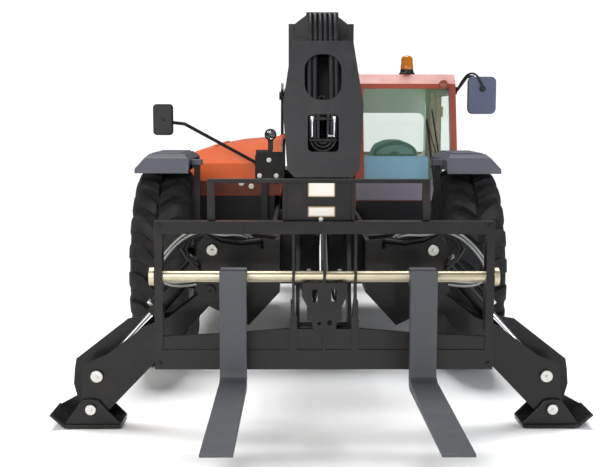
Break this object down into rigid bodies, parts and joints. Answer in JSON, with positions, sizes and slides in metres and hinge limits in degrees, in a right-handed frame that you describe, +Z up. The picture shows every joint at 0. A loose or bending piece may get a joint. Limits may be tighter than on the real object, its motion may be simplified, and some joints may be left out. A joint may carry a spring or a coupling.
{
  "type": "telescopic handler with pallet forks and front stabilisers",
  "caption": "Rough-terrain telescopic handler with extending boom, tilting fork carriage, sliding forks, front stabilisers and four steered wheels.",
  "frame": {"origin": "middle of the overall box, at ground level", "axes": "+Y towards the back of the machine, forks point to -Y; +X towards its left side, where the cab is; +Z up"},
  "size_m": [3.096, 7.7999, 2.3816],
  "materials": {
    "black_steel": "satin",
    "chassis_black": "satin",
    "boom_black": "satin",
    "orange": "gloss",
    "tyre": "matte",
    "rim": "satin",
    "fender_grey": "matte",
    "fork_steel": "satin",
    "zinc": "satin",
    "chrome": "polished",
    "window": "clear",
    "seat_fabric": "matte",
    "cab_plastic": "matte",
    "lamp": "gloss",
    "engine_grey": "matte",
    "stack_steel": "satin"
  },
  "bodies": {
    "chassis": {"chassis_frame": "chassis_black", "stabiliser_mounts": "black_steel", "counterweight": "chassis_black", "axles": "chassis_black", "engine_pod": "black_steel", "engine": "engine_grey", "cab_shell": "orange", "cab_glass": "window", "seat": "seat_fabric", "dashboard": "cab_plastic", "fuel_tank": "black_steel", "cab_step": "black_steel", "exhaust": "stack_steel", "lamps": "lamp", "mirrors": "cab_plastic"},
    "hood": {"hood": "orange"},
    "door": {"door": "orange", "door_glass": "window"},
    "boom": {"boom_outer": "boom_black"},
    "boom_mid": {"boom_middle": "boom_black"},
    "boom_tip": {"boom_inner": "boom_black", "boom_head": "black_steel"},
    "carriage": {"carriage": "black_steel", "backrest": "black_steel", "fork_shaft": "zinc"},
    "lift_barrel": {"lift_barrel": "black_steel"},
    "lift_rod": {"lift_rod": "chrome"},
    "tilt_barrel": {"tilt_barrel": "black_steel"},
    "tilt_rod": {"tilt_rod": "chrome"},
    "hub_front_left": {"knuckle_front_left": "chassis_black", "fender_left": "fender_grey"},
    "wheel_front_left": {"tyre_front_left": "tyre", "rim_front_left": "rim"},
    "hub_front_right": {"knuckle_front_right": "chassis_black", "fender_right": "fender_grey"},
    "wheel_front_right": {"tyre_front_right": "tyre", "rim_front_right": "rim"},
    "hub_rear_left": {"knuckle_rear_left": "chassis_black"},
    "wheel_rear_left": {"tyre_rear_left": "tyre", "rim_rear_left": "rim"},
    "hub_rear_right": {"knuckle_rear_right": "chassis_black"},
    "wheel_rear_right": {"tyre_rear_right": "tyre", "rim_rear_right": "rim"},
    "fork_left": {"fork_left": "fork_steel"},
    "fork_right": {"fork_right": "fork_steel"},
    "leg_left": {"stabiliser_leg_left": "black_steel"},
    "ram_left": {"stabiliser_barrel_left": "black_steel"},
    "ram_rod_left": {"stabiliser_rod_left": "chrome"},
    "foot_left": {"stabiliser_foot_left": "black_steel"},
    "leg_right": {"stabiliser_leg_right": "black_steel"},
    "ram_right": {"stabiliser_barrel_right": "black_steel"},
    "ram_rod_right": {"stabiliser_rod_right": "chrome"},
    "foot_right": {"stabiliser_foot_right": "black_steel"}
  },
  "joints": [
    {"name": "steer_front_left", "type": "hinge", "parent": "chassis", "child": "hub_front_left", "pos_m": [0.85, -0.6, 0.7], "axis": [0, 0, 1], "range_deg": [-35, 35]},
    {"name": "spin_front_left", "type": "hinge", "parent": "hub_front_left", "child": "wheel_front_left", "pos_m": [1.06, -0.6, 0.7], "axis": [1, 0, 0], "continuous": true},
    {"name": "steer_front_right", "type": "hinge", "parent": "chassis", "child": "hub_front_right", "pos_m": [-0.85, -0.6, 0.7], "axis": [0, 0, 1], "range_deg": [-35, 35]},
    {"name": "spin_front_right", "type": "hinge", "parent": "hub_front_right", "child": "wheel_front_right", "pos_m": [-1.06, -0.6, 0.7], "axis": [1, 0, 0], "continuous": true},
    {"name": "steer_rear_left", "type": "hinge", "parent": "chassis", "child": "hub_rear_left", "pos_m": [0.85, 2.9, 0.7], "axis": [0, 0, 1], "range_deg": [-35, 35]},
    {"name": "spin_rear_left", "type": "hinge", "parent": "hub_rear_left", "child": "wheel_rear_left", "pos_m": [1.06, 2.9, 0.7], "axis": [1, 0, 0], "continuous": true},
    {"name": "steer_rear_right", "type": "hinge", "parent": "chassis", "child": "hub_rear_right", "pos_m": [-0.85, 2.9, 0.7], "axis": [0, 0, 1], "range_deg": [-35, 35]},
    {"name": "spin_rear_right", "type": "hinge", "parent": "hub_rear_right", "child": "wheel_rear_right", "pos_m": [-1.06, 2.9, 0.7], "axis": [1, 0, 0], "continuous": true},
    {"name": "boom_lift", "type": "hinge", "parent": "chassis", "child": "boom", "pos_m": [0, 3.14, 1.99], "axis": [-1, 0, 0], "range_deg": [-3, 65]},
    {"name": "boom_extend", "type": "slide", "parent": "boom", "child": "boom_mid", "axis": [0, -1, 0], "range_m": [0, 3.1]},
    {"name": "boom_extend_tip", "type": "slide", "parent": "boom_mid", "child": "boom_tip", "axis": [0, -1, 0], "range_m": [0, 3.1]},
    {"name": "carriage_tilt", "type": "hinge", "parent": "boom_tip", "child": "carriage", "pos_m": [0, -2.4, 0.62], "axis": [1, 0, 0], "range_deg": [-10, 60]},
    {"name": "fork_shift_left", "type": "slide", "parent": "carriage", "child": "fork_left", "axis": [1, 0, 0], "range_m": [-0.24, 0.23]},
    {"name": "fork_shift_right", "type": "slide", "parent": "carriage", "child": "fork_right", "axis": [-1, 0, 0], "range_m": [-0.2, 0.27]},
    {"name": "lift_barrel_swing", "type": "hinge", "parent": "chassis", "child": "lift_barrel", "pos_m": [0, 2.5, 0.82], "axis": [-1, 0, 0], "range_deg": [-6, 60]},
    {"name": "lift_rod_slide", "type": "slide", "parent": "lift_barrel", "child": "lift_rod", "axis": [0, -0.8985, 0.439], "range_m": [-0.1, 1.4]},
    {"name": "tilt_barrel_swing", "type": "hinge", "parent": "boom_tip", "child": "tilt_barrel", "pos_m": [0, -1.91, 1.78], "axis": [1, 0, 0], "range_deg": [-10, 10]},
    {"name": "tilt_rod_slide", "type": "slide", "parent": "tilt_barrel", "child": "tilt_rod", "axis": [0, -0.5145, -0.8575], "range_m": [-0.08, 0.3]},
    {"name": "stabiliser_left", "type": "hinge", "parent": "chassis", "child": "leg_left", "pos_m": [0.63, -2.12, 0.8], "axis": [0, -1, 0], "range_deg": [0, 115]},
    {"name": "ram_swing_left", "type": "hinge", "parent": "chassis", "child": "ram_left", "pos_m": [0.617, -2.12, 1.028], "axis": [0, -1, 0], "range_deg": [-2, 125]},
    {"name": "ram_slide_left", "type": "slide", "parent": "ram_left", "child": "ram_rod_left", "axis": [0.6732, 0, -0.7394], "range_m": [-0.4, 0.005]},
    {"name": "foot_swivel_left", "type": "hinge", "parent": "leg_left", "child": "foot_left", "pos_m": [1.313, -2.12, 0.114], "axis": [0, -1, 0], "range_deg": [-12, 12]},
    {"name": "stabiliser_right", "type": "hinge", "parent": "chassis", "child": "leg_right", "pos_m": [-0.63, -2.12, 0.8], "axis": [0, 1, 0], "range_deg": [0, 115]},
    {"name": "ram_swing_right", "type": "hinge", "parent": "chassis", "child": "ram_right", "pos_m": [-0.617, -2.12, 1.028], "axis": [0, 1, 0], "range_deg": [-2, 125]},
    {"name": "ram_slide_right", "type": "slide", "parent": "ram_right", "child": "ram_rod_right", "axis": [-0.6732, 0, -0.7394], "range_m": [-0.4, 0.005]},
    {"name": "foot_swivel_right", "type": "hinge", "parent": "leg_right", "child": "foot_right", "pos_m": [-1.313, -2.12, 0.114], "axis": [0, 1, 0], "range_deg": [-12, 12]},
    {"name": "hood_lift", "type": "hinge", "parent": "chassis", "child": "hood", "pos_m": [-0.25, 1.155, 1.602], "axis": [0, 1, 0], "range_deg": [0, 60]},
    {"name": "door_swing", "type": "hinge", "parent": "chassis", "child": "door", "pos_m": [1.179, 1.537, 1.3], "axis": [0, 0, 1], "range_deg": [0, 85]}
  ],
  "couplings": [
    {"joint": "steer_front_right", "follows": "steer_front_left", "ratio": 1},
    {"joint": "steer_rear_right", "follows": "steer_rear_left", "ratio": 1},
    {"joint": "boom_extend_tip", "follows": "boom_extend", "ratio": 1},
    {"joint": "lift_barrel_swing", "follows": "boom_lift", "ratio": 0.8066},
    {"joint": "lift_rod_slide", "follows": "boom_lift", "m_per_rad": 1.1653},
    {"joint": "tilt_barrel_swing", "follows": "carriage_tilt", "ratio": -0.0644},
    {"joint": "tilt_rod_slide", "follows": "carriage_tilt", "m_per_rad": 0.2404},
    {"joint": "ram_swing_left", "follows": "stabiliser_left", "ratio": 1.0365},
    {"joint": "ram_slide_left", "follows": "stabiliser_left", "m_per_rad": -0.1899},
    {"joint": "ram_swing_right", "follows": "stabiliser_right", "ratio": 1.0365},
    {"joint": "ram_slide_right", "follows": "stabiliser_right", "m_per_rad": -0.1899}
  ]
}
